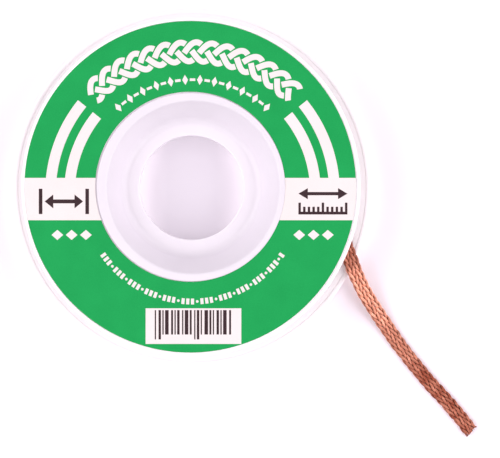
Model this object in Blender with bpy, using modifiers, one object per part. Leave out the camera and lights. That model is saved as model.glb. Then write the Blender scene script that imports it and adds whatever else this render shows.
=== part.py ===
"""A flat copper desoldering braid wound on a two-flange plastic spool.

Metres, +Z up. The spool lies on its larger flange on z = 0, with its axis on Z.
The free end of the braid leaves the winding towards -Y and lies on the table.
"""

from math import atan, cos, degrees, pi, radians, sin, sqrt, tan

import bpy
from mathutils import Vector

# Flanges
BASE_RADIUS = 0.02225
COVER_RADIUS = 0.02075
FLANGE_THICK = 0.0015
FLANGE_EDGE = 0.0005

# Hub: a tube on the base, with the cover's skirt around it
BORE_RADIUS = 0.00645
TUBE_WALL = 0.0018
TUBE_HEIGHT = 0.0042
MOUTH_RADIUS = 0.0106
SKIRT_WALL = 0.0011
SKIRT_CONE_START = 0.0003
LIP_ROUND = 0.0006
SMALL_ROUND = 0.00025

# Label and the shallow recess that it lies in
LABEL_THICK = 0.0001
LABEL_GLUE_GAP = 0.00005
LABEL_SIDE_GAP = 0.0001
RIM_WIDTH = 0.00035
MOUTH_LIP_WIDTH = 0.00093

# Braid, and the winding that fills the channel between the flanges
BRAID_WIDTH = 0.0020
BRAID_THICK = 0.00055
BRAID_LENGTH = 1.5
LANES = 2
LANE_GAP = 0.0001
LAYER_PITCH = 0.00072
TURN_RELIEF = 0.00012
CHANNEL_SIDE_GAP = 0.00045

# Space left between neighbouring pieces
CLEARANCE = 0.0003

# Round steps of every turned piece, the steps of a rounded corner, and shading
TURN_STEPS = 60
CORNER_STEPS = 3
SHARP_ANGLE = 30
MERGE_WITHIN = 0.00001

# The free end, from the winding to its cut end: x, y, z in millimetres
ROUTE_MM = (
    (17.24, 1.81, 2.90),
    (17.45, 0.00, 2.92),
    (17.72, -1.90, 2.94),
    (18.10, -3.80, 2.92),
    (18.55, -5.60, 2.80),
    (19.08, -7.25, 2.58),
    (19.75, -9.05, 2.30),
    (20.20, -10.30, 2.14),
    (20.74, -11.50, 1.98),
    (21.35, -12.76, 1.70),
    (22.08, -13.99, 1.34),
    (22.84, -15.20, 0.97),
    (23.68, -16.45, 0.64),
    (24.55, -17.72, 0.42),
    (25.42, -19.00, 0.33),
    (26.36, -20.28, 0.31),
    (27.36, -21.55, 0.31),
    (28.37, -22.80, 0.31),
    (29.40, -24.05, 0.31),
    (30.50, -25.26, 0.31),
    (31.60, -26.45, 0.31),
    (32.68, -27.70, 0.31),
    (33.72, -28.95, 0.31),
    (34.68, -30.20, 0.31),
)
ROUTE_STEP = 0.0012
CURVE_STEPS = 20
# The braid stands on edge in the winding and lies flat before it passes the rim
TWIST_START = 0.0015
TWIST_END = 0.0095

MILLI = 0.001

# Heights worked out from those above
LANE_PITCH = BRAID_WIDTH + LANE_GAP
WINDING_BOTTOM = FLANGE_THICK + CHANNEL_SIDE_GAP
WINDING_TOP = WINDING_BOTTOM + LANES * LANE_PITCH - LANE_GAP
CHANNEL_TOP = WINDING_TOP + CHANNEL_SIDE_GAP
SPOOL_HEIGHT = CHANNEL_TOP + FLANGE_THICK
LABEL_RECESS = LABEL_THICK + LABEL_GLUE_GAP

# Radii and the funnel's slope worked out from those above
TUBE_RADIUS = BORE_RADIUS + TUBE_WALL
TUBE_LIP_ROUND = min(LIP_ROUND, TUBE_WALL / 2)
SKIRT_INNER = TUBE_RADIUS + CLEARANCE
CONE_BOTTOM = TUBE_HEIGHT + SKIRT_CONE_START
CONE_SLOPE = (MOUTH_RADIUS - SKIRT_INNER) / (SPOOL_HEIGHT - CONE_BOTTOM)
CONE_LEAN = atan(CONE_SLOPE)


def skirt_outer(z):
    """Outer radius of the cover's skirt at height z."""
    return SKIRT_INNER + SKIRT_WALL + CONE_SLOPE * max(0.0, z - CONE_BOTTOM)


def winding_inner(z):
    return skirt_outer(z) + CLEARANCE


def winding_radius():
    """Outer radius that holds the whole braid, lane by lane."""
    bores = sum(winding_inner(WINDING_BOTTOM + (lane + 1) * LANE_PITCH) ** 2 for lane in range(LANES))
    return sqrt((BRAID_LENGTH * LAYER_PITCH / pi + bores) / LANES)


def clear_scene():
    for old in list(bpy.data.objects):
        bpy.data.objects.remove(old, do_unlink=True)


def new_collection(name):
    made = bpy.data.collections.new(name)
    bpy.context.scene.collection.children.link(made)
    return made


def material(name, colour, roughness, metallic=0.0):
    made = bpy.data.materials.new(name)
    made.use_nodes = True
    shader = made.node_tree.nodes["Principled BSDF"]
    shader.inputs["Base Color"].default_value = (*colour, 1.0)
    shader.inputs["Roughness"].default_value = roughness
    shader.inputs["Metallic"].default_value = metallic
    made.diffuse_color = (*colour, 1.0)
    return made


def corner(r, z, radius, start, end):
    """Points of a rounded corner about (r, z), from one angle to another in degrees."""
    points = []
    for i in range(CORNER_STEPS + 1):
        angle = radians(start + (end - start) * i / CORNER_STEPS)
        points.append((r + radius * cos(angle), z + radius * sin(angle)))
    return points


def finish_mesh(piece, mesh, look):
    """Give the piece its own shaded mesh in place of the one it was made from."""
    mesh.name = piece.name
    mesh.shade_smooth()
    mesh.set_sharp_from_angle(angle=radians(SHARP_ANGLE))
    mesh.materials.clear()
    mesh.materials.append(look)
    piece.modifiers.clear()
    piece.data = mesh


def evaluated_mesh(piece):
    bpy.context.view_layer.update()
    graph = bpy.context.evaluated_depsgraph_get()
    return bpy.data.meshes.new_from_object(piece.evaluated_get(graph))


def turned(name, profile, look, collection):
    """A closed (r, z) outline turned about Z. The outline runs down its outer side."""
    outline = bpy.data.meshes.new(name + "_outline")
    count = len(profile)
    edges = [(i, (i + 1) % count) for i in range(count)]
    outline.from_pydata([(r, 0.0, z) for r, z in profile], edges, [])
    piece = bpy.data.objects.new(name, outline)
    collection.objects.link(piece)
    screw = piece.modifiers.new("Turn", "SCREW")
    screw.axis = "Z"
    screw.angle = 2 * pi
    screw.steps = TURN_STEPS
    screw.render_steps = TURN_STEPS
    screw.use_merge_vertices = True
    screw.merge_threshold = MERGE_WITHIN
    finish_mesh(piece, evaluated_mesh(piece), look)
    return piece


def base_profile():
    """Large flange with the hub tube standing on it."""
    edge = FLANGE_EDGE
    small = SMALL_ROUND
    lip = TUBE_LIP_ROUND
    return [
        *corner(BASE_RADIUS - edge, FLANGE_THICK - edge, edge, 90, 0),
        *corner(BASE_RADIUS - edge, edge, edge, 0, -90),
        *corner(BORE_RADIUS + small, small, small, -90, -180),
        *corner(BORE_RADIUS + lip, TUBE_HEIGHT - lip, lip, 180, 90),
        *corner(TUBE_RADIUS - small, TUBE_HEIGHT - small, small, 90, 0),
        (TUBE_RADIUS, FLANGE_THICK),
    ]


def cover_profile():
    """Small flange with the label's recess, and the funnel-shaped skirt below it."""
    edge = FLANGE_EDGE
    rim_inner = COVER_RADIUS - RIM_WIDTH
    lip_outer = MOUTH_RADIUS + MOUTH_LIP_WIDTH
    recess_floor = SPOOL_HEIGHT - LABEL_RECESS
    skirt_bottom = FLANGE_THICK + CLEARANCE
    lip_centre = MOUTH_RADIUS + LIP_ROUND * (1 / cos(CONE_LEAN) - tan(CONE_LEAN))
    return [
        *corner(COVER_RADIUS - SMALL_ROUND, SPOOL_HEIGHT - SMALL_ROUND, SMALL_ROUND, 90, 0),
        *corner(COVER_RADIUS - edge, CHANNEL_TOP + edge, edge, 0, -90),
        (skirt_outer(CHANNEL_TOP), CHANNEL_TOP),
        (skirt_outer(CONE_BOTTOM), CONE_BOTTOM),
        (skirt_outer(0.0), skirt_bottom),
        (SKIRT_INNER, skirt_bottom),
        (SKIRT_INNER, CONE_BOTTOM),
        *corner(lip_centre, SPOOL_HEIGHT - LIP_ROUND, LIP_ROUND, 180 - degrees(CONE_LEAN), 90),
        (lip_outer, SPOOL_HEIGHT),
        (lip_outer, recess_floor),
        (rim_inner, recess_floor),
        (rim_inner, SPOOL_HEIGHT),
    ]


def label_profile():
    inner = MOUTH_RADIUS + MOUTH_LIP_WIDTH + LABEL_SIDE_GAP
    outer = COVER_RADIUS - RIM_WIDTH - LABEL_SIDE_GAP
    bottom = SPOOL_HEIGHT - LABEL_RECESS + LABEL_GLUE_GAP
    top = bottom + LABEL_THICK
    return [(inner, top), (outer, top), (outer, bottom), (inner, bottom)]


def winding_end(z, inner, outer, relief):
    """One end of the winding from outside to inside, with a groove between layers."""
    layers = int((outer - inner) / LAYER_PITCH)
    points = []
    for layer in range(layers):
        groove = outer - layer * LAYER_PITCH
        points.append((groove - LAYER_PITCH / 2, z))
        points.append((groove - LAYER_PITCH, z + relief))
    return [(r, height) for r, height in points if r > inner + LAYER_PITCH / 4]


def winding_profile(outer):
    """The wound braid as one ring, its lanes and layers shown as shallow grooves."""
    side = []
    for lane in reversed(range(1, LANES)):
        seam = WINDING_BOTTOM + lane * LANE_PITCH - LANE_GAP / 2
        side += [
            (outer, seam + TURN_RELIEF),
            (outer - TURN_RELIEF, seam),
            (outer, seam - TURN_RELIEF),
        ]
    top = winding_end(WINDING_TOP, winding_inner(WINDING_TOP), outer, -TURN_RELIEF)
    bottom = winding_end(WINDING_BOTTOM, winding_inner(WINDING_BOTTOM), outer, TURN_RELIEF)
    return [
        *reversed(top),
        (outer, WINDING_TOP - TURN_RELIEF),
        *side,
        (outer, WINDING_BOTTOM + TURN_RELIEF),
        *bottom,
        (winding_inner(WINDING_BOTTOM), WINDING_BOTTOM + TURN_RELIEF),
        (winding_inner(CONE_BOTTOM), CONE_BOTTOM),
        (winding_inner(WINDING_TOP), WINDING_TOP - TURN_RELIEF),
    ]


def smooth_route(corners, step):
    """Points about a step apart on a Catmull-Rom curve through the corners."""
    ends = [2 * corners[0] - corners[1], *corners, 2 * corners[-1] - corners[-2]]
    fine = []
    for a, b, c, d in zip(ends, ends[1:], ends[2:], ends[3:]):
        for i in range(CURVE_STEPS):
            t = i / CURVE_STEPS
            square = (2 * a - 5 * b + 4 * c - d) * t**2
            cube = (3 * b - a - 3 * c + d) * t**3
            fine.append((2 * b + (c - a) * t + square + cube) / 2)
    fine.append(corners[-1])
    along = [0.0]
    for a, b in zip(fine, fine[1:]):
        along.append(along[-1] + (b - a).length)
    count = max(2, round(along[-1] / step))
    route = []
    at = 0
    for i in range(count + 1):
        goal = along[-1] * i / count
        while at < len(fine) - 2 and along[at + 1] < goal:
            at += 1
        share = (goal - along[at]) / (along[at + 1] - along[at])
        route.append((fine[at].lerp(fine[at + 1], min(1.0, share)), goal))
    return route


def twist(distance):
    """Turn of the braid about its own line: on edge at first, then flat."""
    share = min(1.0, max(0.0, (distance - TWIST_START) / (TWIST_END - TWIST_START)))
    return radians(90) * share * share * (3 - 2 * share)


def braid_tail(look, collection):
    """The free end: a flat strip with rounded edges along the route."""
    strip = bpy.data.curves.new("braid_tail", "CURVE")
    strip.dimensions = "3D"
    strip.twist_mode = "Z_UP"
    strip.extrude = (BRAID_WIDTH - BRAID_THICK) / 2
    strip.bevel_depth = BRAID_THICK / 2
    strip.bevel_resolution = 1
    strip.use_fill_caps = True
    route = smooth_route([Vector(point) * MILLI for point in ROUTE_MM], ROUTE_STEP)
    line = strip.splines.new("POLY")
    line.points.add(len(route) - 1)
    for point, (place, distance) in zip(line.points, route):
        point.co = (*place, 1.0)
        point.tilt = twist(distance)
    strip.materials.append(look)
    piece = bpy.data.objects.new("braid_tail", strip)
    collection.objects.link(piece)
    return piece


def main():
    clear_scene()
    parts = new_collection("desoldering_braid")
    plastic = material("white_plastic", (0.86, 0.84, 0.87), 0.42)
    paper = material("green_paper", (0.016, 0.41, 0.10), 0.55)
    copper = material("copper_braid", (0.70, 0.30, 0.17), 0.38, metallic=1.0)
    turned("spool_base", base_profile(), plastic, parts)
    turned("spool_cover", cover_profile(), plastic, parts)
    turned("label", label_profile(), paper, parts)
    turned("braid_coil", winding_profile(winding_radius()), copper, parts)
    braid_tail(copper, parts)


main()
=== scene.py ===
"""The looks of a spool of desoldering braid, built around the fixed CAD frame."""

from math import asin, atan2, cos, degrees, pi, radians, sin, sqrt, tan

import bpy
import numpy as np
from mathutils import Matrix, Vector


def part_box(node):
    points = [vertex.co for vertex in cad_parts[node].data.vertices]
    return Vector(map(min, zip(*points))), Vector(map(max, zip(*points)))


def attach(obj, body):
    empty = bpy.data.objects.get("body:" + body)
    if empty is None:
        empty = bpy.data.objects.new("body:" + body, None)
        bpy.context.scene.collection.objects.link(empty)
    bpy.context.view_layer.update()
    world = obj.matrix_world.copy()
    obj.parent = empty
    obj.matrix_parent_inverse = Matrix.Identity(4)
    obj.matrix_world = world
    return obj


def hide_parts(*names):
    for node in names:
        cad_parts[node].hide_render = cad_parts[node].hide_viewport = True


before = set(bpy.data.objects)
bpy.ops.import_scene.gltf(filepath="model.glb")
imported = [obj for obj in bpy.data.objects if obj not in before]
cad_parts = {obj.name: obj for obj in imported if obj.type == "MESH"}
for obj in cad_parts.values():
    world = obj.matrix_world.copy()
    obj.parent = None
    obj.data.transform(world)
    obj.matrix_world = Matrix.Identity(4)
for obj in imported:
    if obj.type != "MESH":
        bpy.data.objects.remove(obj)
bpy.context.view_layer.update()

SEED = 7
MM = 0.001

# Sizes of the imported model, in millimetres
base_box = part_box("spool_base")
cover_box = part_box("spool_cover")
label_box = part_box("label")
coil_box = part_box("braid_coil")
BASE_RADIUS = base_box[1].x / MM
COVER_RADIUS = cover_box[1].x / MM
COVER_TOP = cover_box[1].z / MM
SKIRT_BOTTOM = cover_box[0].z / MM
LABEL_RADIUS = label_box[1].x / MM
LABEL_TOP = label_box[1].z / MM
LABEL_BOTTOM = label_box[0].z / MM
COIL_RADIUS = coil_box[1].x / MM
COIL_BOTTOM = coil_box[0].z / MM
COIL_TOP = coil_box[1].z / MM

# The photograph's framing, in millimetres; the camera looks straight down
VIEW_WIDTH = 62.5
VIEW_CENTRE = (7.225, -5.125)
CAMERA_HEIGHT = 380.0
SENSOR = 36.0

# Spool, in millimetres; the tube and the skirt touch, so that no light comes through their seam
FLANGE = 1.5
BORE = 6.45
TUBE_RADIUS = 8.495
SKIRT_INNER = 8.49
SKIRT_WALL = 1.15
CONE_START = 4.5
MOUTH = 10.6
LIP_OUTER = 11.53
RIM_INNER = 20.40
RECESS = 0.15
# The mouth is moved aside by the shift, and the lip as far out as this moves with it in full
MOUTH_SHIFT = 0.28
SHIFTED_LIP = 0.3
# The base's flange has a low raised rim
RIM_WIDTH = 0.50
RIM_SLOPE = 0.12
RIM_HEIGHT = 0.06
# Faint grooves in the underside: outer and inner radius, depth, slope and the floor's rounding
OUTER_GROOVE = (20.35, 19.80, 0.09, 0.15, 0.05)
INNER_GROOVE = (9.90, 9.45, 0.08, 0.10, 0.04)
GROOVE_ROUND = 0.05
# Roundings of both flanges' lower edges, of two more on the base, and of the fine edges on top
FLANGE_ROUND = 0.45
BASE_TOP_ROUND = 0.30
BORE_FOOT_ROUND = 0.30
FINE_ROUND = 0.16
# Roundings of the raised rim, the skirt's root, bend and end, the lip, and the recess's edges and floor
RAISED_ROUND = 0.10
SKIRT_ROOT_ROUND = 0.25
SKIRT_BEND_ROUND = 0.6
SKIRT_END_ROUND = 0.2
LIP_ROUND = 0.40
RECESS_EDGE_ROUND = 0.06
RECESS_FLOOR_ROUND = 0.03
# The ledge runs into the funnel in one hollow curve, which the seam of the two mouldings crosses
LEDGE = 3.86
LEDGE_CURVE = 1.2
LEDGE_CURVE_START = 7.77
LEDGE_CURVE_TURN = 63.2
TURN_STEPS = 240
ROUND_STEPS = 6
SHARP_ANGLE = 35

# Label print, in millimetres; its arcs have a centre of their own, a little below the label's
LABEL_INNER = 11.63
LABEL_CENTRE = (-0.085, 0.04)
# The paper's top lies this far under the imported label's, and its edges are rounded as much
PAPER_DROP = 0.012
INK = 0.004
GREEN_MARGIN = 0.01
PRINT_CENTRE = (0.19, -0.70)
BAND_TOP = 1.13
BAND_BOTTOM = -4.05
STRIPES = ((16.73, 18.03), (14.40, 15.70))
STRIPE_CUT = 39.0
# Plait along the top arc: angles in degrees, its gap as a share of one period
PLAIT_RADIUS = 17.27
PLAIT_SWING = 1.17
PLAIT_WIDTH = 0.72
PLAIT_FROM = 136.0
PLAIT_TO = 44.0
PLAIT_PERIODS = 5
PLAIT_GAP = 0.065
# Fine lines of small figures along the arcs: radius, angles, how many figures, and their half sizes
SMALL_LINE_RADIUS = 13.85
SMALL_LINE_ANGLES = (131.0, 49.0)
SMALL_LINE_COUNT = 23
SMALL_LOZENGE = (0.36, 0.62)
SMALL_BAR = (0.34, 0.16)
LOWER_LINE_RADIUS = 13.3
LOWER_LINE_ANGLES = (215.0, 325.0)
LOWER_LINE_COUNT = 45
DASH = (0.19, 0.36)
DOT_RADIUS = 0.17
# Three lozenges under each band: where their middles are, and their step and half sizes
SIDE_MARKS = (-14.6, 15.0)
SIDE_MARK_HEIGHT = -5.85
SIDE_MARK_STEP = 1.75
SIDE_LOZENGE = (0.72, 0.62)
# White box with upright bars: its corners, the bars' widths in turn, and the space round them
CODE_BOX = (-5.55, -19.19, 6.16, -14.83)
BAR_WIDTHS = (0.16, 0.30, 0.16, 0.44, 0.24)
BAR_GAP = 0.17
BAR_WIDE_GAP = 0.30
BARS_LEFT = 1.12
BARS_RIGHT = 1.2
BARS_TOP = 0.22
BARS_BOTTOM = 1.15
LONG_BARS_BOTTOM = 0.55
# Drawings for a width and a length on the white bands; an arrow is its half length, head and half widths
MARK_HEIGHT = -1.75
WIDTH_MARK = -15.55
STOP_AWAY = 2.85
STOP_HALF = (0.22, 1.55)
WIDTH_ARROW = (2.35, 1.05, 0.85, 0.24)
LENGTH_MARK = 16.15
LENGTH_ARROW = (3.0, 1.15, 0.68, 0.20)
ARROW_LIFT = 0.95
RULE_HALF = 3.0
RULE_DROP = 1.6
RULE_THICK = 0.34
RULE_TICKS = 10
TICK_HALF = 0.15
TICK_TALL = 0.95
LONG_TICK_TALL = 1.45

# Braid, in millimetres: carriers each way, the wires of each, and how they lie
CARRIERS = 8
WIRES = 5
WIRE_RADIUS = 0.041
WIRE_PITCH = 0.068
BRAID_LEAD = 8.9
BRAID_WIDTH = 1.70
BRAID_HALF_HEIGHT = 0.155
# Share by which a float runs straighter along the braid than its carrier does
FLOAT_STRAIGHT = 0.35
# How flat a float's top is, and so how steeply it dives
FLOAT_FLAT = 1.3
WEAVE_LIFT = 0.072
WEAVE_CROWN = 0.048
# Waves of the braid's width: share of it, radians to the millimetre, and radians at the start
WIDTH_WAVES = ((0.012, 1.7, 0.0), (0.010, 0.63, 1.0))
# The free end loosens with distance from the winding, and gets narrower
LOOSE_SPAN = (9.0, 34.0)
NARROW_SPAN = (12.0, 34.0)
NARROWING = 0.12
LOOSE_LIFT = 0.2
LOOSE_CLOSER = 0.13
WOUND_LOOSENESS = 0.15
END_FRAY = 0.45
# Stray of a carrier, of a wire and of its height: the wave's length, and how far when tight and loose
CARRIER_STRAY = (2.3, 0.010, 0.030)
WIRE_STRAY = (1.1, 0.004, 0.008)
HEIGHT_STRAY = (0.9, 0.003, 0.010)
# Places along each stretch of wires, and sides of a wire
FREE_END_STATIONS = 236
LOWER_STATIONS = 276
UPPER_STATIONS = 290
BELOW_STATIONS = 98
FREE_END_SIDES = 5
WOUND_SIDES = 4

# Route of the free end, the same points as the CAD model's, in millimetres
ROUTE = (
    (17.24, 1.81, 2.90),
    (17.45, 0.00, 2.92),
    (17.72, -1.90, 2.94),
    (18.10, -3.80, 2.92),
    (18.55, -5.60, 2.80),
    (19.08, -7.25, 2.58),
    (19.75, -9.05, 2.30),
    (20.20, -10.30, 2.14),
    (20.74, -11.50, 1.98),
    (21.35, -12.76, 1.70),
    (22.08, -13.99, 1.34),
    (22.84, -15.20, 0.97),
    (23.68, -16.45, 0.64),
    (24.55, -17.72, 0.42),
    (25.42, -19.00, 0.33),
    (26.36, -20.28, 0.31),
    (27.36, -21.55, 0.31),
    (28.37, -22.80, 0.31),
    (29.40, -24.05, 0.31),
    (30.50, -25.26, 0.31),
    (31.60, -26.45, 0.31),
    (32.68, -27.70, 0.31),
    (33.72, -28.95, 0.31),
    (34.68, -30.20, 0.31),
)
# The wires spread a little past the end of that route
WIRES_END = (34.93, -30.45, 0.31)
# The braid stands on edge in the winding and lies flat before it passes the rim
TWIST_SPAN = (1.5, 9.5)

# Winding, in millimetres; spans are degrees of clockwise travel, up to 0 where the free end departs
LAYER_PITCH = 0.72
LANE_HALF = 1.0
OUTER_INSET = 0.25
DEPARTURE = degrees(atan2(ROUTE[0][1], ROUTE[0][0]))
OUTER_TURN = COIL_RADIUS - OUTER_INSET
LOW_LANE = COIL_BOTTOM + LANE_HALF
HIGH_LANE = COIL_TOP - LANE_HALF
WOUND_START = -700.0
CLIMB = (-674.0, -652.0)
CROSSING = (-334.0, -309.0)
LEAVING = (-46.0, 0.0)
SINKING = (-30.0, 0.0)
ANGLE_STEP = 0.5
# The upper and the lower stretch of wires meet this far before the braid changes lanes
SPLIT_LEAD = 2.0
# The stretch of the turn below that shows where the free end lifts off, in degrees round the spool
BELOW_ANGLES = (56.0, -60.0)
# Rings for the turns further in
RING_HALF_HEIGHT = 0.97
RING_THICK = 0.5
RING_ROUND = 0.22
RING_OUT = 0.03
RING_LEAST = 10.9
RING_STEPS = 120

# Where the looks change, in millimetres
# Beyond these radii the flanges are painted whiter as painted light, and let light through
THIN_RADII = (11.8, 15.0)
# Where the ledge is painted darker as shade in the crease towards the seam
CREASE_SHADE_RADII = (7.6, 8.5)
CREASE_SHADE_HEIGHTS = (3.0, 3.6)
# Below these heights the underside is painted as white as the flanges
UNDERSIDE_HEIGHTS = (0.4, 1.2)
AGED_Y = (-12.5, -23.5)
# The copper is painted darker as shade under the rim, from the first place along Y onwards
SHADED_Y = (-10.8, -8.8)
# The table is painted darker as shade under the spool, and less so at the bore's sides
TABLE_SHADE_RADII = (3.0, 16.0)
BORE_SIDES = (3.0, 6.4)
# How far those changes go, as shares
THIN_GLOW = 0.12
AGE_AND_SHADE_SHARE = 0.78
BORE_SIDE_UNSHADED = 0.8
# Noise values between which a look changes over, softly or in clearer patches
SOFT_PATCHES = (0.3, 0.7)
CLEAR_PATCHES = (0.35, 0.65)

# Colours, most as a darker and a lighter tint that a material mixes
BASE_WHITE = ((0.825, 0.788, 0.83), (0.845, 0.808, 0.85))
# Painted shade: the cover's funnel and lip are painted a darker white than the base's hub, though both are
# the same plastic
COVER_PAINTED_SHADE_WHITE = ((0.73, 0.695, 0.74), (0.755, 0.72, 0.765))
# Painted shade in the crease where the ledge meets the funnel
CREASE_PAINTED_SHADE = (0.742, 0.707, 0.752)
# Painted light: the thin flanges are painted this whiter white, standing in for light coming through the
# thin plastic
THIN_PAINTED_LIGHT_WHITE = (0.99, 0.98, 0.99)
PAPER = ((0.765, 0.708, 0.685), (0.795, 0.742, 0.72))
GREEN_INK = ((0.005, 0.303, 0.068), (0.008, 0.342, 0.079))
DARK_INK = ((0.030, 0.014, 0.017), (0.046, 0.024, 0.028))
TABLE_WHITE = ((0.975, 0.925, 0.97), (0.985, 0.94, 0.98))
# Painted shade on the table under the spool
TABLE_PAINTED_SHADE = (0.785, 0.745, 0.795)
# Copper where it is bright, dull and aged, and the dark rosin and painted shade of the valleys, on bright
# and on aged copper
FREE_COPPER = ((1.0, 0.54, 0.385), (0.97, 0.455, 0.305), (0.37, 0.085, 0.042))
WOUND_COPPER = ((0.84, 0.40, 0.27), (0.72, 0.30, 0.19), (0.55, 0.20, 0.12))
ROSIN_AND_PAINTED_SHADE = ((0.38, 0.10, 0.045), (0.13, 0.022, 0.010))

# Floor and light, in metres and watts; the table's face lies a hair under the spool's
FLOOR_REACH = 3.0
FLOOR_DROP = 0.00002
LIGHT_AIM = (0.0, 0.0, 0.004)
LIGHT_TINT = (1.0, 0.945, 1.0)
SIDE_LIGHT_PLACE = (0.44, 0.03, 0.34)
SIDE_LIGHT_SIZE = (0.70, 0.52)
SIDE_LIGHT_POWER = 3.0
FRONT_LIGHT_PLACE = (0.0, -0.44, 0.35)
FRONT_LIGHT_SIZE = (0.60, 0.36)
FRONT_LIGHT_POWER = 0.75
ROOM_TINT = (1.0, 0.955, 1.0)
ROOM_STRENGTH = 0.385


def camera():
    """Looks straight down on the table, with the photograph's up along +Y."""
    made = bpy.data.objects.new("camera", bpy.data.cameras.new("camera"))
    bpy.context.scene.collection.objects.link(made)
    made.location = Vector((*VIEW_CENTRE, CAMERA_HEIGHT)) * MM
    made.data.sensor_width = SENSOR
    made.data.lens = SENSOR * CAMERA_HEIGHT / VIEW_WIDTH
    made.data.clip_start = 0.01
    made.data.clip_end = 10.0
    bpy.context.scene.camera = made


# Materials


def new_material(name):
    made = bpy.data.materials.new(name)
    made.use_nodes = True
    return made, made.node_tree, made.node_tree.nodes["Principled BSDF"]


def add(tree, kind, inputs=None, **settings):
    """A node with some of its settings and unlinked inputs given."""
    node = tree.nodes.new(kind)
    for key, value in settings.items():
        setattr(node, key, value)
    for key, value in (inputs or {}).items():
        node.inputs[key].default_value = value
    return node


def noise(tree, place, scale, detail=3.0, roughness=0.5):
    """Noise by place on the object; scale is in features a metre."""
    node = add(tree, "ShaderNodeTexNoise", {"Scale": scale, "Detail": detail, "Roughness": roughness})
    tree.links.new(place, node.inputs["Vector"])
    return node.outputs["Fac"]


def ramp(tree, value, low, high, to_low=0.0, to_high=1.0):
    """A value between two limits, carried over to two others and held between them."""
    node = add(
        tree,
        "ShaderNodeMapRange",
        {"From Min": low, "From Max": high, "To Min": to_low, "To Max": to_high},
    )
    tree.links.new(value, node.inputs["Value"])
    return node.outputs["Result"]


def fade(tree, value, span, to_low=0.0, to_high=1.0):
    """A ramp over a span of places, given in millimetres."""
    return ramp(tree, value, span[0] * MM, span[1] * MM, to_low, to_high)


def joined(tree, operation, first, second, clamp=True):
    """Two values put together by a sum or a product, held between 0 and 1 if clamped."""
    node = add(tree, "ShaderNodeMath", operation=operation, use_clamp=clamp)
    tree.links.new(first, node.inputs[0])
    tree.links.new(second, node.inputs[1])
    return node.outputs[0]


def blend(tree, share, low, high):
    """Colour between two, each a colour or a socket."""
    node = add(tree, "ShaderNodeMix", data_type="RGBA")
    tree.links.new(share, node.inputs["Factor"])
    for socket, colour in ((node.inputs[6], low), (node.inputs[7], high)):
        if isinstance(colour, tuple):
            socket.default_value = (*colour, 1.0)
        else:
            tree.links.new(colour, socket)
    return node.outputs[2]


def bump(tree, shader, height, distance):
    node = add(tree, "ShaderNodeBump", {"Distance": distance, "Strength": 1.0})
    tree.links.new(height, node.inputs["Height"])
    tree.links.new(node.outputs["Normal"], shader.inputs["Normal"])


def object_place(tree):
    return add(tree, "ShaderNodeTexCoord").outputs["Object"]


def place_parts(tree, place):
    """The X, Y and Z of a place, each as a socket of its own."""
    node = add(tree, "ShaderNodeSeparateXYZ")
    tree.links.new(place, node.inputs[0])
    return node.outputs


def centre_distance(tree, place):
    """Distance of a place from the object's origin."""
    node = add(tree, "ShaderNodeVectorMath", operation="LENGTH")
    tree.links.new(place, node.inputs[0])
    return node.outputs["Value"]


def axis_distance(tree, place):
    """Distance of a place from the spool's axis."""
    flat = add(tree, "ShaderNodeVectorMath", {1: (1.0, 1.0, 0.0)}, operation="MULTIPLY")
    tree.links.new(place, flat.inputs[0])
    return centre_distance(tree, flat.outputs[0])


def plastic_look(name, tints, crease_shade=None):
    """White moulded plastic: soft gloss, a little translucent, with faint flow marks; its thin flanges and
    underside are painted whiter as painted light, and the ledge painted darker as crease shade where asked.
    """
    made, tree, shader = new_material(name)
    place = object_place(tree)
    radius = axis_distance(tree, place)
    height = place_parts(tree, place)["Z"]
    tint = blend(tree, ramp(tree, noise(tree, place, 180.0, 2.0), *SOFT_PATCHES), *tints)
    if crease_shade:
        # Painted shade: the ledge is painted darker, to the funnel's tint, towards the crease at the seam
        # between them
        near = joined(tree, "MULTIPLY", fade(tree, radius, CREASE_SHADE_RADII), fade(tree, height, CREASE_SHADE_HEIGHTS))
        tint = blend(tree, near, tint, crease_shade)
    # Light comes through the thin flanges, and not through the thicker hub
    thin = fade(tree, radius, THIN_RADII)
    tree.links.new(ramp(tree, thin, 0.0, 1.0, 0.0, THIN_GLOW), shader.inputs["Subsurface Weight"])
    # Painted light: the thin flanges are painted whiter than the hub, standing in for light coming through
    # the thin plastic, and the underside is painted as white as them
    white = joined(tree, "ADD", thin, fade(tree, height, UNDERSIDE_HEIGHTS, 1.0, 0.0))
    tree.links.new(blend(tree, white, tint, THIN_PAINTED_LIGHT_WHITE), shader.inputs["Base Color"])
    rough = ramp(tree, noise(tree, place, 900.0), *SOFT_PATCHES, 0.34, 0.44)
    tree.links.new(rough, shader.inputs["Roughness"])
    bump(tree, shader, noise(tree, place, 1400.0, 4.0), 0.000012)
    shader.inputs["IOR"].default_value = 1.49
    shader.inputs["Subsurface Radius"].default_value = (1.0, 0.9, 1.0)
    shader.inputs["Subsurface Scale"].default_value = 0.004
    return made


def print_look(name, tints, rough):
    """Printed paper: fine fibres under a smooth coat, the ink a little uneven."""
    made, tree, shader = new_material(name)
    place = object_place(tree)
    fine = noise(tree, place, 6000.0, 2.0)
    mixed = joined(tree, "ADD", fine, noise(tree, place, 260.0), clamp=False)
    tree.links.new(blend(tree, ramp(tree, mixed, 0.7, 1.3), *tints), shader.inputs["Base Color"])
    uneven = ramp(tree, fine, *SOFT_PATCHES, rough - 0.05, rough + 0.05)
    tree.links.new(uneven, shader.inputs["Roughness"])
    bump(tree, shader, noise(tree, place, 3500.0, 4.0), 0.000006)
    shader.inputs["Specular IOR Level"].default_value = 0.25
    return made


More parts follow.
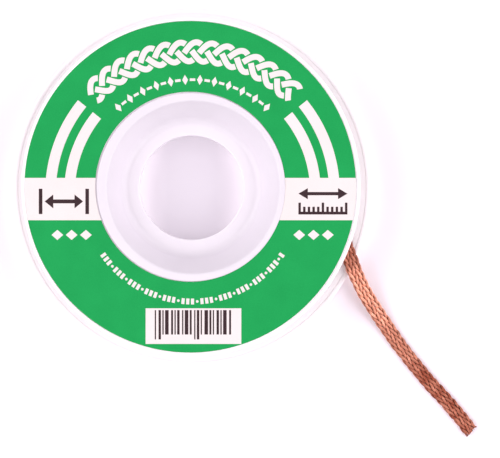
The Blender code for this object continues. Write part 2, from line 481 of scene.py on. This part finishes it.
def copper_look(name, bright, dull, aged):
    """Bare copper wire, brightest just outside the rim, painted darker as shade under it, and older towards
    the tip.
    """
    made, tree, shader = new_material(name)
    place = object_place(tree)
    along_y = place_parts(tree, place)["Y"]
    tip = fade(tree, along_y, AGED_Y, 0.0, AGE_AND_SHADE_SHARE)
    # Painted shade: under the rim the copper is painted darker where the flange shades it
    start = fade(tree, along_y, SHADED_Y, 0.0, AGE_AND_SHADE_SHARE)
    patch = ramp(tree, noise(tree, place, 900.0, 3.0, 0.6), *CLEAR_PATCHES, -0.28, 0.22)
    age_and_shade = joined(tree, "ADD", joined(tree, "ADD", tip, start), patch)
    fleck = ramp(tree, noise(tree, place, 5200.0, 2.0), *CLEAR_PATCHES)
    worn = blend(tree, age_and_shade, blend(tree, fleck, dull, bright), aged)
    # Painted shade and dark rosin: the valleys between the wires and the braid's inside are painted dark
    depth = add(tree, "ShaderNodeAttribute", attribute_name="valley_shade").outputs["Fac"]
    valley_darkening = ramp(tree, depth, 0.38, 0.85)
    tree.links.new(blend(tree, valley_darkening, worn, blend(tree, age_and_shade, *ROSIN_AND_PAINTED_SHADE)), shader.inputs["Base Color"])
    tree.links.new(ramp(tree, age_and_shade, 0.0, 1.0, 0.40, 0.62), shader.inputs["Roughness"])
    tree.links.new(ramp(tree, age_and_shade, 0.0, 1.0, 0.85, 0.45), shader.inputs["Metallic"])
    shader.inputs["Specular IOR Level"].default_value = 0.2
    return made


def table_look(name):
    """White paper, painted darker as shade where the spool covers it, and least so at the bore's left and
    right.
    """
    made, tree, shader = new_material(name)
    place = object_place(tree)
    tint = blend(tree, noise(tree, place, 30.0), *TABLE_WHITE)
    # Painted shade: the paper is painted darker under the spool, and less so at the bore's left and right,
    # where the side lights reach it
    aside = add(tree, "ShaderNodeMath", operation="ABSOLUTE")
    tree.links.new(place_parts(tree, place)["X"], aside.inputs[0])
    away = fade(tree, centre_distance(tree, place), TABLE_SHADE_RADII)
    unshaded_share = joined(tree, "ADD", away, fade(tree, aside.outputs[0], BORE_SIDES, 0.0, BORE_SIDE_UNSHADED))
    tree.links.new(blend(tree, unshaded_share, TABLE_PAINTED_SHADE, tint), shader.inputs["Base Color"])
    shader.inputs["Roughness"].default_value = 0.6
    shader.inputs["Specular IOR Level"].default_value = 0.2
    return made


# Turned pieces


def rounded(outline, steps=ROUND_STEPS):
    """Points of a closed (r, z, rounding) outline with its corners rounded."""
    points = []
    count = len(outline)
    for i, (r, z, rounding) in enumerate(outline):
        here = Vector((r, z))
        if rounding == 0:
            points.append(here)
            continue
        back = (Vector(outline[i - 1][:2]) - here).normalized()
        on = (Vector(outline[(i + 1) % count][:2]) - here).normalized()
        half = back.angle(on) / 2
        reach = rounding / tan(half)
        centre = here + (back + on).normalized() * rounding / sin(half)
        start = here + back * reach - centre
        sweep = start.angle_signed(here + on * reach - centre)
        for k in range(steps + 1):
            turn = -sweep * k / steps
            points.append(centre + Vector((
                start.x * cos(turn) - start.y * sin(turn),
                start.x * sin(turn) + start.y * cos(turn),
            )))
    return points


def place_piece(name, mesh, look, smooth=True):
    """A finished piece in metres, riding on the object's one body."""
    mesh.name = name
    mesh.materials.clear()
    mesh.materials.append(look)
    if smooth:
        mesh.shade_smooth()
        mesh.set_sharp_from_angle(angle=radians(SHARP_ANGLE))
    piece = bpy.data.objects.new(name, mesh)
    bpy.context.scene.collection.objects.link(piece)
    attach(piece, "root")
    return piece


def read_mesh(piece):
    """The mesh of a piece with its modifiers applied, and the piece removed."""
    bpy.context.view_layer.update()
    graph = bpy.context.evaluated_depsgraph_get()
    mesh = bpy.data.meshes.new_from_object(piece.evaluated_get(graph))
    bpy.data.objects.remove(piece)
    return mesh


def turned_mesh(outlines, steps=TURN_STEPS):
    """Closed (r, z) outlines in millimetres turned about Z, as a mesh in metres."""
    points = []
    edges = []
    for outline in outlines:
        first = len(points)
        count = len(outline)
        points += [(r * MM, 0.0, z * MM) for r, z in outline]
        edges += [(first + i, first + (i + 1) % count) for i in range(count)]
    mesh = bpy.data.meshes.new("outline")
    mesh.from_pydata(points, edges, [])
    piece = bpy.data.objects.new("outline", mesh)
    bpy.context.scene.collection.objects.link(piece)
    screw = piece.modifiers.new("Turn", "SCREW")
    screw.axis = "Z"
    screw.angle = 2 * pi
    screw.steps = steps
    screw.render_steps = steps
    screw.use_merge_vertices = True
    screw.merge_threshold = 0.000001
    return read_mesh(piece)


def ledge_curve(start, end, steps=10):
    """Points of the hollow curve between two radii, from the ledge up into the funnel."""
    turns = [asin((r - LEDGE_CURVE_START) / LEDGE_CURVE) for r in (start, end)]
    points = []
    for i in range(steps + 1):
        turn = turns[0] + (turns[1] - turns[0]) * i / steps
        r = LEDGE_CURVE_START + LEDGE_CURVE * sin(turn)
        points.append((r, LEDGE + LEDGE_CURVE * (1 - cos(turn)), 0.0))
    return points


def groove(outer, inner, depth, slope, floor_round):
    """A shallow groove in the underside, from its outer to its inner edge."""
    return [
        (outer, 0.0, GROOVE_ROUND),
        (outer - slope, depth, floor_round),
        (inner + slope, depth, floor_round),
        (inner, 0.0, GROOVE_ROUND),
    ]


def spool_base():
    """Large flange with a rounded rim, and the hub tube with its soft ledge."""
    face = FLANGE - RIM_HEIGHT
    outline = [
        (BASE_RADIUS, FLANGE, BASE_TOP_ROUND),
        (BASE_RADIUS, 0.0, FLANGE_ROUND),
        *groove(*OUTER_GROOVE),
        *groove(*INNER_GROOVE),
        (BORE, 0.0, BORE_FOOT_ROUND),
        (BORE, LEDGE, FINE_ROUND),
        *ledge_curve(LEDGE_CURVE_START, TUBE_RADIUS),
        (TUBE_RADIUS, face, 0.0),
        (BASE_RADIUS - RIM_WIDTH - RIM_SLOPE, face, RAISED_ROUND),
        (BASE_RADIUS - RIM_WIDTH, FLANGE, RAISED_ROUND),
    ]
    look = plastic_look("base_plastic", BASE_WHITE, CREASE_PAINTED_SHADE)
    piece = place_piece("base_moulding", turned_mesh([rounded(outline)]), look)
    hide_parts("spool_base")


def set_mouth_aside(mesh):
    """The funnel's mouth was moulded a little off the flange's centre, which its wall takes up."""
    for vertex in mesh.vertices:
        radius = sqrt(vertex.co.x**2 + vertex.co.y**2) / MM
        height = vertex.co.z / MM
        risen = min(1.0, max(0.0, (height - CONE_START) / (COVER_TOP - CONE_START)))
        inside = min(1.0, max(0.0, (LIP_OUTER - radius) / (LIP_OUTER - MOUTH - SHIFTED_LIP)))
        vertex.co.x += MOUTH_SHIFT * risen * inside * MM


def spool_cover():
    """Small flange with the label's recess, and the funnel that runs down into the hub."""
    slope = (MOUTH - SKIRT_INNER) / (COVER_TOP - CONE_START)
    under = COVER_TOP - FLANGE
    skirt_outer = SKIRT_INNER + SKIRT_WALL
    curve_end = LEDGE_CURVE_START + LEDGE_CURVE * sin(radians(LEDGE_CURVE_TURN))
    outline = [
        (COVER_RADIUS, COVER_TOP, FINE_ROUND),
        (COVER_RADIUS, under, FLANGE_ROUND),
        (skirt_outer + slope * (under - CONE_START), under, SKIRT_ROOT_ROUND),
        (skirt_outer, CONE_START, SKIRT_BEND_ROUND),
        (skirt_outer, SKIRT_BOTTOM, SKIRT_END_ROUND),
        (SKIRT_INNER, SKIRT_BOTTOM, SKIRT_END_ROUND),
        *ledge_curve(SKIRT_INNER, curve_end, 5),
        (MOUTH, COVER_TOP, LIP_ROUND),
        (LIP_OUTER, COVER_TOP, RECESS_EDGE_ROUND),
        (LIP_OUTER, COVER_TOP - RECESS, RECESS_FLOOR_ROUND),
        (RIM_INNER, COVER_TOP - RECESS, RECESS_FLOOR_ROUND),
        (RIM_INNER, COVER_TOP, RECESS_EDGE_ROUND),
    ]
    mesh = turned_mesh([rounded(outline)])
    set_mouth_aside(mesh)
    piece = place_piece("cover_moulding", mesh, plastic_look("cover_plastic", COVER_PAINTED_SHADE_WHITE))
    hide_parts("spool_cover")


# Label print


def arc(radius, start, end, centre=PRINT_CENTRE, step=1.5):
    """Points of an arc from one angle to another, in degrees."""
    count = max(2, round(abs(end - start) / step))
    angles = [radians(start + (end - start) * i / count) for i in range(count + 1)]
    return [(centre[0] + radius * cos(a), centre[1] + radius * sin(a)) for a in angles]


def height_angle(radius, y, centre=PRINT_CENTRE):
    """Angle at which a circle meets a height, on its right side."""
    return degrees(asin((y - centre[1]) / radius))


def rectangle(x0, y0, x1, y1):
    return [(x0, y0), (x1, y0), (x1, y1), (x0, y1)]


def bar(half_x, half_y, x=0.0, y=0.0):
    """A rectangle about a point."""
    return rectangle(x - half_x, y - half_y, x + half_x, y + half_y)


def dot(radius, count=10):
    turns = [2 * pi * i / count for i in range(count)]
    return [(radius * cos(a), radius * sin(a)) for a in turns]


def lozenge(half_x, half_y, x=0.0, y=0.0):
    return [(x + half_x, y), (x, y + half_y), (x - half_x, y), (x, y - half_y)]


def on_arc(shape, radius, angle, centre=PRINT_CENTRE, inward=False):
    """A small flat shape set on an arc, its up pointing outward, or inward."""
    turn = radians(angle + 90 if inward else angle - 90)
    cx = centre[0] + radius * cos(radians(angle))
    cy = centre[1] + radius * sin(radians(angle))
    return [(cx + x * cos(turn) - y * sin(turn), cy + x * sin(turn) + y * cos(turn)) for x, y in shape]


def spread(angles, count):
    """Angles at equal steps from the first to the last."""
    return [angles[0] + (angles[1] - angles[0]) * i / (count - 1) for i in range(count)]


def upper_field():
    """Green field above the white bands, with two stripes rising from each band."""
    reach = LABEL_RADIUS - GREEN_MARGIN
    outer = height_angle(reach, BAND_TOP, LABEL_CENTRE)
    inner = height_angle(LABEL_INNER, BAND_TOP, LABEL_CENTRE)
    points = arc(reach, outer, 180 - outer, LABEL_CENTRE)
    for low, high in STRIPES:
        points += arc(high, 180 - height_angle(high, BAND_TOP), 180 - STRIPE_CUT)
        points += arc(low, 180 - STRIPE_CUT, 180 - height_angle(low, BAND_TOP))
    points += arc(LABEL_INNER, 180 - inner, inner, LABEL_CENTRE)
    for low, high in reversed(STRIPES):
        points += arc(low, height_angle(low, BAND_TOP), STRIPE_CUT)
        points += arc(high, STRIPE_CUT, height_angle(high, BAND_TOP))
    return points


def lower_field():
    """Green field below the white bands."""
    reach = LABEL_RADIUS - GREEN_MARGIN
    outer = height_angle(reach, BAND_BOTTOM, LABEL_CENTRE)
    inner = height_angle(LABEL_INNER, BAND_BOTTOM, LABEL_CENTRE)
    points = arc(reach, 180 - outer, 360 + outer, LABEL_CENTRE)
    return points + arc(LABEL_INNER, 360 + inner, 180 - inner, LABEL_CENTRE)


def plait():
    """A plait of three strands along the top arc: each passes over one strand, then under one."""
    shapes = []
    reach = 1 / 4 - PLAIT_GAP
    for strand in range(3):
        shift = strand / 3
        for k in range(-3, 2 * PLAIT_PERIODS + 2):
            middle = k / 2 + 1 / 6 - shift
            start = max(0.0, middle - reach)
            end = min(PLAIT_PERIODS, middle + reach)
            if end - start > PLAIT_GAP:
                shapes.append(plait_strand(start, end, shift))
    return shapes


def plait_strand(start, end, shift, steps=14):
    """One visible run of a strand; its start and end are counted in periods along the arc."""
    left = []
    right = []
    length = -PLAIT_RADIUS * radians(PLAIT_TO - PLAIT_FROM) / PLAIT_PERIODS
    half = PLAIT_WIDTH / 2
    for i in range(steps + 1):
        t = start + (end - start) * i / steps
        angle = radians(PLAIT_FROM + (PLAIT_TO - PLAIT_FROM) * t / PLAIT_PERIODS)
        swing = 2 * pi * (t + shift)
        radius = PLAIT_RADIUS + PLAIT_SWING * sin(swing)
        lean = atan2(PLAIT_SWING * 2 * pi * cos(swing), length)
        for side, row in ((1, left), (-1, right)):
            r = radius + side * half * cos(lean)
            a = angle + side * half * sin(lean) / radius
            row.append((PRINT_CENTRE[0] + r * cos(a), PRINT_CENTRE[1] + r * sin(a)))
    return left + right[::-1]


def small_line():
    """A line of lozenges and short bars under the plait."""
    shapes = []
    for i, angle in enumerate(spread(SMALL_LINE_ANGLES, SMALL_LINE_COUNT)):
        shape = lozenge(*SMALL_LOZENGE) if i % 2 == 0 else bar(*SMALL_BAR)
        shapes.append(on_arc(shape, SMALL_LINE_RADIUS, angle))
    return shapes


def lower_line():
    """A fine line of dashes and dots along the bottom arc."""
    shapes = []
    for i, angle in enumerate(spread(LOWER_LINE_ANGLES, LOWER_LINE_COUNT)):
        shape = dot(DOT_RADIUS) if i % 4 == 3 else bar(*DASH)
        shapes.append(on_arc(shape, LOWER_LINE_RADIUS, angle, inward=True))
    return shapes


def side_marks():
    """Three lozenges in a row under each band."""
    shapes = []
    for middle in SIDE_MARKS:
        places = [middle + SIDE_MARK_STEP * k for k in (-1, 0, 1)]
        shapes += [lozenge(*SIDE_LOZENGE, x, SIDE_MARK_HEIGHT) for x in places]
    return shapes


def bars():
    """Upright bars in the white box, their widths taken in turn."""
    shapes = []
    left, bottom, right, top = CODE_BOX
    x = left + BARS_LEFT
    i = 0
    while x < right - BARS_RIGHT:
        width = BAR_WIDTHS[i % len(BAR_WIDTHS)]
        low = bottom + (LONG_BARS_BOTTOM if i % 10 in (0, 1) else BARS_BOTTOM)
        shapes.append(rectangle(x, low, x + width, top - BARS_TOP))
        x += width + (BAR_GAP if i % 3 else BAR_WIDE_GAP)
        i += 1
    return shapes


def double_arrow(x, y, half, head, tall, shaft):
    """An arrow with a head at each end."""
    neck = half - head
    right = [(neck, -shaft), (neck, -tall), (half, 0.0), (neck, tall), (neck, shaft)]
    left = [(-px, -py) for px, py in right]
    return [(x + px, y + py) for px, py in right + left]


def width_mark(x, y):
    """Two upright bars with an arrow between them, for a width."""
    stops = [bar(*STOP_HALF, x + side * STOP_AWAY, y) for side in (-1, 1)]
    return [*stops, double_arrow(x, y, *WIDTH_ARROW)]


def length_mark(x, y):
    """A rule with ticks under a long arrow, for a length."""
    base = y - RULE_DROP
    top = base + RULE_THICK
    rule = [(x - RULE_HALF, base), (x + RULE_HALF, base)]
    for k in range(RULE_TICKS, -1, -1):
        at = x + (RULE_HALF - TICK_HALF) * (2 * k / RULE_TICKS - 1)
        tall = base + (LONG_TICK_TALL if k % 5 == 0 else TICK_TALL)
        right = at + TICK_HALF
        left = at - TICK_HALF
        rule += [(right, top), (right, tall), (left, tall), (left, top)]
    return [rule, double_arrow(x, y + ARROW_LIFT, *LENGTH_ARROW)]


def print_mesh(loops, low, high):
    """Flat print between two heights: outlines in millimetres, where an inner outline is a hole."""
    curve = bpy.data.curves.new("print", "CURVE")
    curve.dimensions = "2D"
    curve.fill_mode = "BOTH"
    curve.extrude = (high - low) / 2
    for loop in loops:
        line = curve.splines.new("POLY")
        line.points.add(len(loop) - 1)
        line.use_cyclic_u = True
        for point, (x, y) in zip(line.points, loop):
            point.co = (x, y, 0.0, 1.0)
    piece = bpy.data.objects.new("print", curve)
    bpy.context.scene.collection.objects.link(piece)
    mesh = read_mesh(piece)
    values = np.empty(len(mesh.vertices) * 3)
    mesh.vertices.foreach_get("co", values)
    places = values.reshape(-1, 3)
    places[:, 2] += (low + high) / 2
    mesh.vertices.foreach_set("co", (places * MM).ravel())
    mesh.update()
    return mesh


def label():
    """Paper ring with its green fields, white figures left out of the green, and dark marks."""
    white = print_look("label_white", PAPER, 0.42)
    green = print_look("label_green_ink", GREEN_INK, 0.40)
    dark = print_look("label_dark_ink", DARK_INK, 0.40)
    top = LABEL_TOP - PAPER_DROP
    outline = [
        (LABEL_INNER, top, PAPER_DROP),
        (LABEL_RADIUS, top, PAPER_DROP),
        (LABEL_RADIUS, LABEL_BOTTOM, 0.0),
        (LABEL_INNER, LABEL_BOTTOM, 0.0),
    ]
    sheet = turned_mesh([rounded(outline, 2)])
    sheet.transform(Matrix.Translation(Vector((*LABEL_CENTRE, 0.0)) * MM))
    paper = place_piece("label_sheet", sheet, white)
    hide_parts("label")
    holes = [rectangle(*CODE_BOX), *plait(), *small_line(), *lower_line(), *side_marks()]
    fields = print_mesh([upper_field(), lower_field(), *holes], top, top + INK)
    place_piece("label_green_print", fields, green, smooth=False)
    marks = [*width_mark(WIDTH_MARK, MARK_HEIGHT), *length_mark(LENGTH_MARK, MARK_HEIGHT), *bars()]
    place_piece("label_dark_print", print_mesh(marks, top, top + INK), dark, smooth=False)


# Braid


def smoothstep(value, low, high):
    share = np.clip((value - low) / (high - low), 0.0, 1.0)
    return share * share * (3 - 2 * share)


def unit(vectors):
    return vectors / np.linalg.norm(vectors, axis=-1)[..., None]


def along(points):
    """Distance of each point from the first, along the line."""
    steps = np.linalg.norm(np.diff(points, axis=0), axis=1)
    return np.concatenate([[0.0], np.cumsum(steps)])


def smooth_route(corners, fine=24):
    """Points on a Catmull-Rom curve through the corners."""
    corners = np.array(corners)
    ends = [2 * corners[0] - corners[1], *corners, 2 * corners[-1] - corners[-2]]
    t = np.linspace(0, 1, fine, endpoint=False)[:, None]
    rows = []
    for a, b, c, d in zip(ends, ends[1:], ends[2:], ends[3:]):
        square = (2 * a - 5 * b + 4 * c - d) * t**2
        cube = (3 * b - a - 3 * c + d) * t**3
        rows.append((2 * b + (c - a) * t + square + cube) / 2)
    rows.append(corners[-1:])
    return np.concatenate(rows)


class Line:
    """A centreline with, at each distance along it, the braid's width direction and outer face."""

    def __init__(self, points, turn=np.zeros_like):
        self.points = points
        self.far = along(points)
        ahead = unit(np.gradient(points, axis=0))
        out = unit(np.cross([0.0, 0.0, 1.0], ahead))
        up = np.cross(ahead, out)
        angle = np.radians(turn(self.far))[:, None]
        self.wide = up * np.cos(angle) - out * np.sin(angle)
        self.face = out * np.cos(angle) + up * np.sin(angle)

    def at(self, far, table):
        """Rows of a table for other distances along the line."""
        return np.stack([np.interp(far, self.far, table[:, k]) for k in range(3)], axis=-1)


def free_end_twist(far):
    """Degrees by which the braid has turned from on edge to flat."""
    return 90 * smoothstep(far, *TWIST_SPAN)


def free_end_looseness(far):
    return smoothstep(far, *LOOSE_SPAN)


def wound_looseness(far):
    return np.full_like(far, WOUND_LOOSENESS)


def wound_points():
    """The last two turns of the winding, up to where the free end leaves it."""
    gone = np.arange(WOUND_START, 0.01, ANGLE_STEP)
    leave = np.hypot(ROUTE[0][0], ROUTE[0][1]) - OUTER_TURN
    radius = OUTER_TURN - LAYER_PITCH * (1 - smoothstep(gone, *CLIMB)) + leave * smoothstep(gone, *LEAVING)
    height = HIGH_LANE + (LOW_LANE - HIGH_LANE) * smoothstep(gone, *CROSSING)
    height = height + (ROUTE[0][2] - LOW_LANE) * smoothstep(gone, *SINKING)
    angle = np.radians(DEPARTURE - gone)
    return np.stack([radius * np.cos(angle), radius * np.sin(angle), height], axis=1), gone


def below_points():
    """The stretch of the turn below, in the lower lane."""
    angle = np.radians(np.arange(*BELOW_ANGLES, -ANGLE_STEP))
    radius = OUTER_TURN - LAYER_PITCH
    return np.stack([radius * np.cos(angle), radius * np.sin(angle), np.full_like(angle, LOW_LANE)], axis=1)


def section(share, half_width, half_height):
    """Place and outward direction on the flattened tube, by the share of the way round it."""
    flat = half_width - half_height
    length = 4 * flat + 2 * pi * half_height
    way = (share % 1.0) * length
    bend = pi * half_height
    stretch = [flat, flat + bend, 3 * flat + bend, 3 * flat + 2 * bend]
    first = way < stretch[0]
    right = (way >= stretch[0]) & (way < stretch[1])
    lower = (way >= stretch[1]) & (way < stretch[2])
    left = (way >= stretch[2]) & (way < stretch[3])
    turn_right = (way - stretch[0]) / half_height
    turn_left = (way - stretch[2]) / half_height
    ny = np.where(right, np.sin(turn_right), np.where(left, -np.sin(turn_left), 0.0))
    nz = np.where(right, np.cos(turn_right), np.where(left, -np.cos(turn_left), 1.0))
    nz = np.where(lower, -1.0, nz)
    y = np.where(first, way, np.where(lower, 2 * flat + bend - way, way - length))
    y = np.where(right, flat + half_height * ny, np.where(left, -flat + half_height * ny, y))
    return y, half_height * nz, ny, nz


def slow_noise(rng, far, wave):
    """Smooth random values along the braid, one row for each wire or carrier."""
    knots = np.arange(far.min() - 2 * wave, far.max() + 3 * wave, wave)
    table = rng.uniform(-1, 1, (len(far), len(knots)))
    return np.stack([np.interp(row, knots, values) for row, values in zip(far, table)])


def stray(rng, far, loose, kind):
    """Random wandering that grows as the braid loosens."""
    wave, tight, more = kind
    return slow_noise(rng, far, wave) * (tight + more * loose)


def uneven_half_width(far):
    """Half the braid's width, which narrows towards the free end and varies a little."""
    half = 0.5 * (BRAID_WIDTH - NARROWING * smoothstep(far, *NARROW_SPAN))
    return half * (1 + sum(share * np.sin(far * pace + start) for share, pace, start in WIDTH_WAVES))


def braid_mesh(line, start, end, stations, sides, looseness, fray=0.0):
    """Every wire of a stretch of braid as a thin tube."""
    rng = np.random.default_rng(SEED)
    total = 2 * CARRIERS * WIRES
    way = np.repeat([1.0, -1.0], CARRIERS * WIRES)[:, None]
    carrier = np.tile(np.repeat(np.arange(CARRIERS), WIRES), 2)[:, None]
    strand = np.tile(np.arange(WIRES) - (WIRES - 1) / 2, 2 * CARRIERS)[:, None]
    cut = end - fray * rng.uniform(0.0, 1.0, total) ** 2
    far = start + (cut[:, None] - start) * np.linspace(0, 1, stations)[None, :]
    loose = looseness(far)

    half_width = uneven_half_width(far)
    around = 4 * (half_width - BRAID_HALF_HEIGHT) + 2 * pi * BRAID_HALF_HEIGHT
    lean = np.cos(np.arctan(around / BRAID_LEAD))
    wave, tight, more = CARRIER_STRAY
    group = np.repeat(slow_noise(rng, far[::WIRES], wave), WIRES, axis=0) * (tight + more * loose)
    single = stray(rng, far, loose, WIRE_STRAY)
    aside = strand * WIRE_PITCH * (1 - LOOSE_CLOSER * loose) + group + single
    share = carrier / CARRIERS + way * far / BRAID_LEAD + aside / lean / around

    # Which crossing of the other family the wire is at decides whether it runs over or under
    other = CARRIERS * (share + way * far / BRAID_LEAD)
    phase = 2 * pi * (carrier + other - 0.5) / 4
    over = np.cos(phase) * way
    share = share - way * FLOAT_STRAIGHT * np.sin(phase) / (pi * CARRIERS)
    lift = WEAVE_LIFT * (1 + LOOSE_LIFT * loose) * np.tanh(FLOAT_FLAT * over) / np.tanh(FLOAT_FLAT)
    crown = WEAVE_CROWN * (0.5 - (strand / 2) ** 2)
    lift = lift + crown + stray(rng, far, loose, HEIGHT_STRAY)

    path, outward = wire_paths(line, far, share, half_width, lift)
    ahead = unit(np.gradient(path, axis=1))
    outward = unit(outward - ahead * (outward * ahead).sum(-1)[..., None])
    across = np.cross(ahead, outward)
    turns = 2 * pi * np.arange(sides) / sides
    ring = np.cos(turns)[:, None] * outward[:, :, None, :] + np.sin(turns)[:, None] * across[:, :, None, :]
    mesh = tube_mesh((path[:, :, None, :] + WIRE_RADIUS * ring) * MM)
    # How deep each place lies in the weave, from 0 on its crowns to 1 in its valleys and inside the tube;
    # the copper there is painted dark as shade, partly standing for rosin
    top = WEAVE_LIFT + WEAVE_CROWN / 2
    valley_shade = np.clip((top - lift) / (top + WEAVE_LIFT), 0.0, 1.0)
    shade_depth = np.maximum(valley_shade[:, :, None], smoothstep(-np.cos(turns), 0.1, 0.7))
    mesh.attributes.new("valley_shade", "FLOAT", "POINT").data.foreach_set("value", shade_depth.ravel())
    return mesh


def wire_paths(line, far, share, half_width, lift):
    """Centre of each wire and its outward direction, from its place round the braid and its lift."""
    y, z, ny, nz = section(share, half_width, BRAID_HALF_HEIGHT)
    centre = line.at(far, line.points)
    wide = unit(line.at(far, line.wide))
    face = unit(line.at(far, line.face))
    path = centre + wide * (y + ny * lift)[..., None] + face * (z + nz * lift)[..., None]
    return path, wide * ny[..., None] + face * nz[..., None]


def tube_mesh(places):
    """One mesh of many capped tubes, from points by tube, station and side."""
    tubes, stations, sides, _ = places.shape
    index = np.arange(tubes * stations * sides).reshape(tubes, stations, sides)
    beside = np.roll(index, -1, axis=2)
    walls = np.stack([index[:, :-1], beside[:, :-1], beside[:, 1:], index[:, 1:]], axis=-1).reshape(-1, 4)
    faces = walls.tolist() + index[:, 0, ::-1].tolist() + index[:, -1].tolist()
    mesh = bpy.data.meshes.new("wires")
    mesh.from_pydata(places.reshape(-1, 3).tolist(), [], faces)
    mesh.update()
    mesh.validate()
    return mesh


def free_end(look):
    """The free end as real wires, from the winding to its cut end on the table."""
    tail = Line(smooth_route((*ROUTE, WIRES_END)), free_end_twist)
    detail = (FREE_END_STATIONS, FREE_END_SIDES)
    mesh = braid_mesh(tail, 0.0, tail.far[-1], *detail, free_end_looseness, fray=END_FRAY)
    piece = place_piece("free_end_wires", mesh, look)
    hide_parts("braid_tail")


def last_turns(look):
    """The last turns of the winding as real wires, and what shows of the turn below them."""
    points, gone = wound_points()
    wound = Line(points)
    wound.far -= wound.far[-1]
    split = np.interp(CROSSING[0] - SPLIT_LEAD, gone, wound.far)
    below = Line(below_points())
    for name, line, start, end, stations in (
        ("last_turn_lower", wound, split, 0.0, LOWER_STATIONS),
        ("last_turn_upper", wound, wound.far[0], split, UPPER_STATIONS),
        ("turn_below", below, 0.0, below.far[-1], BELOW_STATIONS),
    ):
        mesh = braid_mesh(line, start, end, stations, WOUND_SIDES, wound_looseness)
        place_piece(name, mesh, look)


def inner_turns(look):
    """The turns further in, as rounded rings, lane by lane."""
    rings = []
    for lane in (LOW_LANE, HIGH_LANE):
        outer = OUTER_TURN - LAYER_PITCH + RING_OUT
        while outer > RING_LEAST:
            inner = outer - RING_THICK
            outline = [
                (outer, lane + RING_HALF_HEIGHT, RING_ROUND),
                (outer, lane - RING_HALF_HEIGHT, RING_ROUND),
                (inner, lane - RING_HALF_HEIGHT, RING_ROUND),
                (inner, lane + RING_HALF_HEIGHT, RING_ROUND),
            ]
            rings.append(rounded(outline, 3))
            outer -= LAYER_PITCH
    piece = place_piece("inner_turns", turned_mesh(rings, RING_STEPS), look)
    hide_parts("braid_coil")


# Floor and light


def floor():
    mesh = bpy.data.meshes.new("table")
    corners = [(x * FLOOR_REACH, y * FLOOR_REACH, 0.0) for x, y in rectangle(-1, -1, 1, 1)]
    mesh.from_pydata(corners, [], [(0, 1, 2, 3)])
    mesh.materials.append(table_look("white_table"))
    piece = bpy.data.objects.new("table", mesh)
    piece.location.z = -FLOOR_DROP
    bpy.context.scene.collection.objects.link(piece)


def soft_light(name, place, size, power):
    """An area light that faces the spool."""
    data = bpy.data.lights.new(name, "AREA")
    data.shape = "RECTANGLE"
    data.size, data.size_y = size
    data.energy = power
    data.color = LIGHT_TINT
    made = bpy.data.objects.new(name, data)
    made.location = place
    made.rotation_euler = (Vector(LIGHT_AIM) - Vector(place)).to_track_quat("-Z", "Y").to_euler()
    bpy.context.scene.collection.objects.link(made)


def lights():
    x, y, z = SIDE_LIGHT_PLACE
    for name, side in (("left_softbox", -1), ("right_softbox", 1)):
        soft_light(name, (side * x, y, z), SIDE_LIGHT_SIZE, SIDE_LIGHT_POWER)
    soft_light("front_softbox", FRONT_LIGHT_PLACE, FRONT_LIGHT_SIZE, FRONT_LIGHT_POWER)
    world = bpy.data.worlds.new("soft_room")
    world.use_nodes = True
    back = world.node_tree.nodes["Background"]
    back.inputs["Color"].default_value = (*ROOM_TINT, 1.0)
    back.inputs["Strength"].default_value = ROOM_STRENGTH
    bpy.context.scene.world = world


camera()
free_end(copper_look("copper_tail", *FREE_COPPER))
wound_copper = copper_look("copper_wound", *WOUND_COPPER)
last_turns(wound_copper)
inner_turns(wound_copper)
spool_base()
spool_cover()
label()
floor()
lights()
bpy.context.scene.view_settings.view_transform = "Standard"
